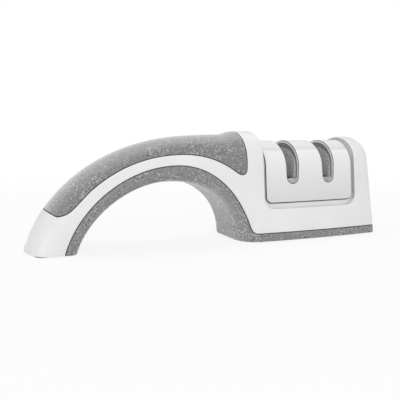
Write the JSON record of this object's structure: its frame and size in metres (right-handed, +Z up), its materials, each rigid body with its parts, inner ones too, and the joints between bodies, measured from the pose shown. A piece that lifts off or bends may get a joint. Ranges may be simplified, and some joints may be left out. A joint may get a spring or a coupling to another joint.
{
  "type": "pull through knife sharpener",
  "caption": "Handheld knife sharpener with an arched soft-grip handle, a moulded head on a plinth, and slots whose guides lead a blade onto spring-loaded grinding wheels.",
  "frame": {"origin": "middle of the bounding box at table level, under the sharpener", "axes": "+X from the heel of the handle to the head, +Y to the back, +Z up"},
  "size_m": [0.23, 0.0552, 0.0694],
  "materials": {
    "upper_housing": "satin moulded plastic",
    "grip_pad": "soft matt grip",
    "base_shell": "matt moulded plastic",
    "guide_cover": "satin moulded plastic",
    "stage_1_guide": "fine textured plastic",
    "stage_2_guide": "fine textured plastic",
    "wheel_carrier": "moulded plastic",
    "stage_1_bushes": "sintered bronze",
    "stage_2_bushes": "sintered bronze",
    "stage_1_axle": "ground steel",
    "stage_2_axle": "ground steel",
    "stage_1_fixed_wheel": "steel with a diamond coat",
    "stage_1_sliding_wheel": "steel with a diamond coat",
    "stage_2_fixed_wheel": "fine grinding ceramic",
    "stage_2_sliding_wheel": "fine grinding ceramic",
    "stage_1_spring": "spring wire",
    "stage_2_spring": "spring wire",
    "stage_1_spring_seat": "turned steel",
    "stage_2_spring_seat": "turned steel",
    "stage_1_clips": "spring steel",
    "stage_2_clips": "spring steel",
    "housing_screws": "zinc plated steel",
    "handle_screw": "zinc plated steel",
    "carrier_screws": "zinc plated steel",
    "head_feet": "matt rubber",
    "heel_foot": "matt rubber"
  },
  "bodies": {
    "sharpener_body": {"upper_housing": "upper_housing", "grip_pad": "grip_pad", "base_shell": "base_shell", "guide_cover": "guide_cover", "stage_1_guide": "stage_1_guide", "stage_2_guide": "stage_2_guide", "wheel_carrier": "wheel_carrier", "stage_1_bushes": "stage_1_bushes", "stage_2_bushes": "stage_2_bushes", "housing_screws": "housing_screws", "handle_screw": "handle_screw", "carrier_screws": "carrier_screws", "head_feet": "head_feet", "heel_foot": "heel_foot"},
    "stage_1_rotor": {"stage_1_axle": "stage_1_axle", "stage_1_fixed_wheel": "stage_1_fixed_wheel", "stage_1_sliding_wheel": "stage_1_sliding_wheel", "stage_1_spring": "stage_1_spring", "stage_1_spring_seat": "stage_1_spring_seat", "stage_1_clips": "stage_1_clips"},
    "stage_2_rotor": {"stage_2_axle": "stage_2_axle", "stage_2_fixed_wheel": "stage_2_fixed_wheel", "stage_2_sliding_wheel": "stage_2_sliding_wheel", "stage_2_spring": "stage_2_spring", "stage_2_spring_seat": "stage_2_spring_seat", "stage_2_clips": "stage_2_clips"}
  },
  "joints": [
    {"name": "stage_1_spin", "type": "hinge", "parent": "sharpener_body", "child": "stage_1_rotor", "pos_m": [0.0497, 0, 0.0314], "axis": [1, 0, 0], "continuous": true},
    {"name": "stage_2_spin", "type": "hinge", "parent": "sharpener_body", "child": "stage_2_rotor", "pos_m": [0.0767, 0, 0.0314], "axis": [1, 0, 0], "continuous": true}
  ]
}
